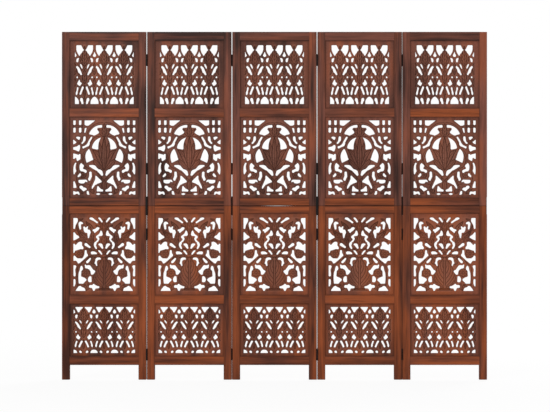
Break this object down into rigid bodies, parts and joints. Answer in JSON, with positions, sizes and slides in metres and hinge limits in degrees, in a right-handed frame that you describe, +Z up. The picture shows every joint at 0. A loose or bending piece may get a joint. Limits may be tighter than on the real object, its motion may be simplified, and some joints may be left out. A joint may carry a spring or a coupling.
{
  "type": "carved folding screen",
  "caption": "Free-standing folding screen of pierced and carved wooden panels, hinged edge to edge so that it folds flat like a concertina.",
  "frame": {"origin": "on the floor under the middle of the middle panel, half way through its depth", "axes": "+X along the flat screen to the viewer's right, +Y from the front to the back, +Z up"},
  "size_m": [2.016, 0.0478, 1.65],
  "materials": {
    "frame_wood": "dark stained, satin",
    "carved_wood": "dark stained, satin, hand carved",
    "blackened_iron": "blackened, semi-matt"
  },
  "bodies": {
    "panel_1": {"panel_1_lower_stiles": "frame_wood", "panel_1_lower_rails": "frame_wood", "panel_1_border_insert": "carved_wood", "panel_1_tree_insert": "carved_wood", "panel_1_upper_stiles": "frame_wood", "panel_1_upper_rails": "frame_wood", "panel_1_lotus_insert": "carved_wood", "panel_1_frieze_insert": "carved_wood", "panel_1_screws": "blackened_iron", "panel_1_joining_plate": "blackened_iron", "hinges_1_2_left_leaves": "blackened_iron", "hinges_1_2_pins": "blackened_iron"},
    "panel_2": {"panel_2_lower_stiles": "frame_wood", "panel_2_lower_rails": "frame_wood", "panel_2_border_insert": "carved_wood", "panel_2_tree_insert": "carved_wood", "panel_2_upper_stiles": "frame_wood", "panel_2_upper_rails": "frame_wood", "panel_2_lotus_insert": "carved_wood", "panel_2_frieze_insert": "carved_wood", "panel_2_screws": "blackened_iron", "hinges_2_3_left_leaves": "blackened_iron", "hinges_2_3_pins": "blackened_iron", "hinges_1_2_right_leaves": "blackened_iron"},
    "panel_3": {"panel_3_lower_stiles": "frame_wood", "panel_3_lower_rails": "frame_wood", "panel_3_border_insert": "carved_wood", "panel_3_tree_insert": "carved_wood", "panel_3_upper_stiles": "frame_wood", "panel_3_upper_rails": "frame_wood", "panel_3_lotus_insert": "carved_wood", "panel_3_frieze_insert": "carved_wood", "panel_3_screws": "blackened_iron", "hinges_3_4_left_leaves": "blackened_iron", "hinges_3_4_pins": "blackened_iron", "hinges_2_3_right_leaves": "blackened_iron"},
    "panel_4": {"panel_4_lower_stiles": "frame_wood", "panel_4_lower_rails": "frame_wood", "panel_4_border_insert": "carved_wood", "panel_4_tree_insert": "carved_wood", "panel_4_upper_stiles": "frame_wood", "panel_4_upper_rails": "frame_wood", "panel_4_lotus_insert": "carved_wood", "panel_4_frieze_insert": "carved_wood", "panel_4_screws": "blackened_iron", "hinges_4_5_left_leaves": "blackened_iron", "hinges_4_5_pins": "blackened_iron", "hinges_3_4_right_leaves": "blackened_iron"},
    "panel_5": {"panel_5_lower_stiles": "frame_wood", "panel_5_lower_rails": "frame_wood", "panel_5_border_insert": "carved_wood", "panel_5_tree_insert": "carved_wood", "panel_5_upper_stiles": "frame_wood", "panel_5_upper_rails": "frame_wood", "panel_5_lotus_insert": "carved_wood", "panel_5_frieze_insert": "carved_wood", "panel_5_screws": "blackened_iron", "panel_5_joining_plate": "blackened_iron", "hinges_4_5_right_leaves": "blackened_iron"}
  },
  "joints": [
    {"name": "fold_2_3", "type": "hinge", "parent": "panel_3", "child": "panel_2", "pos_m": [-0.202, 0.0184, 0], "axis": [0, 0, -1], "range_deg": [0, 180]},
    {"name": "fold_3_4", "type": "hinge", "parent": "panel_3", "child": "panel_4", "pos_m": [0.202, -0.0184, 0], "axis": [0, 0, -1], "range_deg": [0, 180]},
    {"name": "fold_1_2", "type": "hinge", "parent": "panel_2", "child": "panel_1", "pos_m": [-0.606, -0.0184, 0], "axis": [0, 0, 1], "range_deg": [0, 180]},
    {"name": "fold_4_5", "type": "hinge", "parent": "panel_4", "child": "panel_5", "pos_m": [0.606, 0.0184, 0], "axis": [0, 0, 1], "range_deg": [0, 180]}
  ],
  "couplings": [
    {"joint": "fold_4_5", "follows": "fold_1_2", "ratio": 1}
  ]
}
